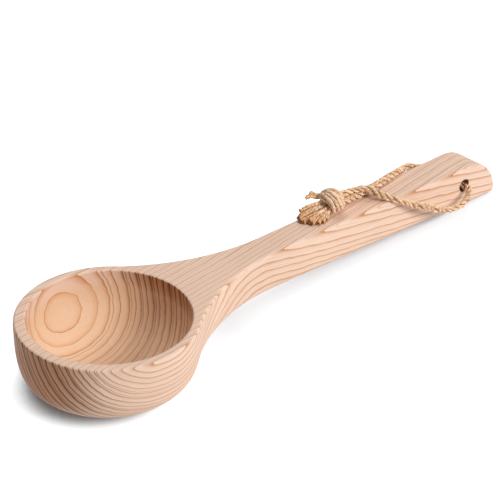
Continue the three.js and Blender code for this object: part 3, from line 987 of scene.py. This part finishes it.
# The wraps: strands that come together at the far side, run over the top and spread towards the near side
def wrapLines(rng):
    top = 90.0
    turned = np.linspace(knot["from"], knot["to"], knot["pointsEach"])
    past = np.maximum(turned - top, 0) / top
    before = np.maximum(top - turned, 0) / knot["gatherOver"]
    atEnds = np.minimum(turned - knot["from"], knot["to"] - turned)
    tucked = knot["tuck"] * eased(knot["tuckOver"] - atEnds, 0, knot["tuckOver"])
    angle = np.radians(turned)
    lines = []
    for depth in knot["layers"]:
        for number in range(knot["strands"]):
            start = knot["firstAt"] + (knot["lastAt"] - knot["firstAt"]) * number / (knot["strands"] - 1)
            slant = knot["slant"] * (1 - ((start - knot["slantMiddle"]) / knot["slantReach"]) ** 2)
            x = start + slant * past ** 2 + (knot["gatheredAt"] - start) * np.minimum(before, 1)
            share = np.maximum(1 - (x / knot["halfLength"]) ** 2, knot["leastDome"])
            dome = knot["radius"] * np.sqrt(share)
            uneven = rng.uniform(-1, 1) * knot["unevenness"]
            reach = dome - knot["sizes"]["strandRadius"] - depth - tucked + uneven
            around = np.stack([x, reach * np.cos(angle), reach * np.sin(angle)], 1)
            lines.append(np.array(knot["centre"]) + around)
    return lines


# A tail's strands: close together at the root, spread towards their ends
def tailLines(tail, rng):
    middle = np.mean(tail["ends"], axis=0)
    lines = []
    for end in np.array(tail["ends"]):
        aside = (end - middle) * tails["squeeze"]
        points = [np.array(p) + aside for p in tail["root"]]
        halfway = (points[-1] + end) / 2 + np.array((0, 0, tails["sag"]))
        halfway[1:] += rng.uniform(-1, 1, 2) * tails["wobble"]
        lines.append(smoothRoute([*points, halfway, end]))
    return lines


def tieLoop(material):
    tree = makeLayingTree()
    rng = np.random.default_rng(loop["looseSeed"])
    legs = {}
    for key, name in (("nearLeg", "near_leg_twine"), ("farLeg", "far_leg_twine")):
        sizes = loop[key]["sizes"]
        strandRadius = twine["strandRadius"] * sizes["diameter"] / twine["diameter"]
        route = smoothRoute(loop[key]["route"])
        legs[key] = (layTwine(name, [route], tree, material, {**sizes, "strandRadius": strandRadius}), route)
    wraps = layStrands("knot_wraps", wrapLines(rng), tree, material, knot["sizes"])
    ends = {}
    for key, name in (("upper", "upper_tail_strands"), ("lower", "lower_tail_strands")):
        sizes = {**tails["sizes"], **tails[key]["sizes"]}
        ends[key] = layStrands(name, tailLines(tails[key], rng), tree, material, sizes)
    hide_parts("twine_near_leg", "twine_in_hole")
    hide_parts("twine_far_leg")
    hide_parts("twine_knot")
    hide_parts("twine_upper_tail")
    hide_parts("twine_lower_tail")
    for key, carried in (("nearLeg", [wraps, ends["upper"]]), ("farLeg", [ends["lower"]])):
        piece, route = legs[key]


# Stage: white floor that keeps the shadow, white surroundings. Lengths here are in metres
stage = {
    "floorSize": 6.0,
    "floorColour": (0.86, 0.86, 0.86),
    "floorSeen": (0.40, 0.44, 0.49),
    "floorLift": 1.0,
    "shadowReach": 0.029,
    "shadowSamples": 16,
    "lightFrom": (0.57, -0.34, 0.75),
    "shadowSpan": (0.18, 0.58),
    "shadeReach": 0.05,
    "shadeSpan": (0.45, 0.95),
    "shade": 0.38,
    "shadePast": (-0.115, -0.05),
    "ambient": 0.23,
}


# 1 for what the camera sees, directly or in a mirror or glass, and 0 for the light on the ladle
def seenIn(tree):
    path = put(tree, "ShaderNodeLightPath").outputs
    seen = larger(tree, path["Is Camera Ray"], path["Is Glossy Ray"])
    return larger(tree, seen, path["Is Transmission Ray"])


def makeFloor():
    material, tree, shader = newMaterial("pale_floor")
    tree.nodes.remove(shader)
    seen = seenIn(tree)
    colour = blended(tree, seen, stage["floorColour"], stage["floorSeen"])
    matt = put(tree, "ShaderNodeBsdfDiffuse", {"Color": colour})
    samples = stage["shadowSamples"]
    openness = opennessTo(tree, stage["shadowReach"], samples, Normal=joined(tree, *stage["lightFrom"]))
    lit = ranged(tree, openness, *stage["shadowSpan"], 0.0, stage["floorLift"], smooth=True)
    # A faint wide shade along the handle, none round the bowl
    openness = opennessTo(tree, stage["shadeReach"], samples)
    shade = ranged(tree, openness, *stage["shadeSpan"], stage["shade"], 0.0)
    onFloor = put(tree, "ShaderNodeTexCoord").outputs["Object"]
    alongHandle = put(tree, "ShaderNodeSeparateXYZ", {"Vector": onFloor}).outputs["X"]
    shade = times(tree, shade, ranged(tree, alongHandle, *stage["shadePast"]))
    lit = times(tree, lit, minus(tree, 1.0, shade))
    lift = put(tree, "ShaderNodeEmission", {"Strength": times(tree, seen, lit)})
    both = put(tree, "ShaderNodeAddShader", {0: matt.outputs[0], 1: lift.outputs[0]})
    tree.links.new(both.outputs[0], tree.nodes["Material Output"].inputs["Surface"])
    half = stage["floorSize"] / 2
    corners = [(-half, -half, 0), (half, -half, 0), (half, half, 0), (-half, half, 0)]
    mesh = bpy.data.meshes.new("floor")
    mesh.from_pydata(corners, [], [(0, 1, 2, 3)])
    mesh.materials.append(material)
    floor = bpy.data.objects.new("floor", mesh)
    scene.collection.objects.link(floor)


def makeSurroundings():
    world = bpy.data.worlds.new("surroundings")
    world.use_nodes = True
    scene.world = world
    tree = world.node_tree
    background = tree.nodes["Background"]
    background.inputs["Color"].default_value = (1, 1, 1, 1)
    strength = between(tree, seenIn(tree), stage["ambient"], 1.0)
    tree.links.new(strength, background.inputs["Strength"])
    print("floor and surroundings made")


# Lamps: where each stands round the ladle, in degrees and metres, and what it gives
lamps = {
    "key": {
        "azimuth": 15, "elevation": 32, "distance": 2.6,
        "size": 1.0, "power": 47, "tint": (1.0, 0.97, 0.93),
    },
    "top": {
        "azimuth": 150, "elevation": 70, "distance": 2.6,
        "size": 2.0, "power": 22, "tint": (0.97, 0.98, 1.0),
    },
}
lampsAimAt = (0, 0, 0.02)


def directionAt(azimuth, elevation):
    a, e = math.radians(azimuth), math.radians(elevation)
    return Vector((math.sin(a) * math.cos(e), -math.cos(a) * math.cos(e), math.sin(e)))


def makeLamps():
    for name, lamp in lamps.items():
        away = directionAt(lamp["azimuth"], lamp["elevation"])
        data = bpy.data.lights.new(name, "AREA")
        data.shape = "DISK"
        data.size = lamp["size"]
        data.energy = lamp["power"]
        data.color = lamp["tint"]
        light = bpy.data.objects.new(name, data)
        light.location = Vector(lampsAimAt) + away * lamp["distance"]
        light.rotation_mode = "QUATERNION"
        light.rotation_quaternion = away.to_track_quat("Z", "Y")
        scene.collection.objects.link(light)
    print("lamps placed:", len(lamps))


# Camera: the photograph's viewpoint, in degrees and metres
view = {
    "target": (-0.011614, 0.017383, 0.024985),
    "azimuth": -41.676,
    "elevation": 33.062,
    "roll": -0.366,
    "distance": 0.924373,
    "lens": 107.99,  # millimetres, as is the sensor
    "sensor": 36.0,
}


def makeCamera():
    back = directionAt(view["azimuth"], view["elevation"])
    right = directionAt(view["azimuth"] + 90, 0)
    up = back.cross(right)
    roll = math.radians(view["roll"])
    rolledRight = right * math.cos(roll) + up * math.sin(roll)
    rolledUp = up * math.cos(roll) - right * math.sin(roll)
    data = bpy.data.cameras.new("photo_view")
    data.sensor_width = view["sensor"]
    data.lens = view["lens"]
    camera = bpy.data.objects.new("photo_view", data)
    turned = Matrix((rolledRight, rolledUp, back)).transposed().to_4x4()
    camera.matrix_world = Matrix.Translation(Vector(view["target"]) + back * view["distance"]) @ turned
    scene.collection.objects.link(camera)
    scene.camera = camera
    print("camera placed")


makeCamera()
makeLamps()
makeFloor()
makeSurroundings()
tieLoop(makeTwineFinish())
carveLadle(makeWood())
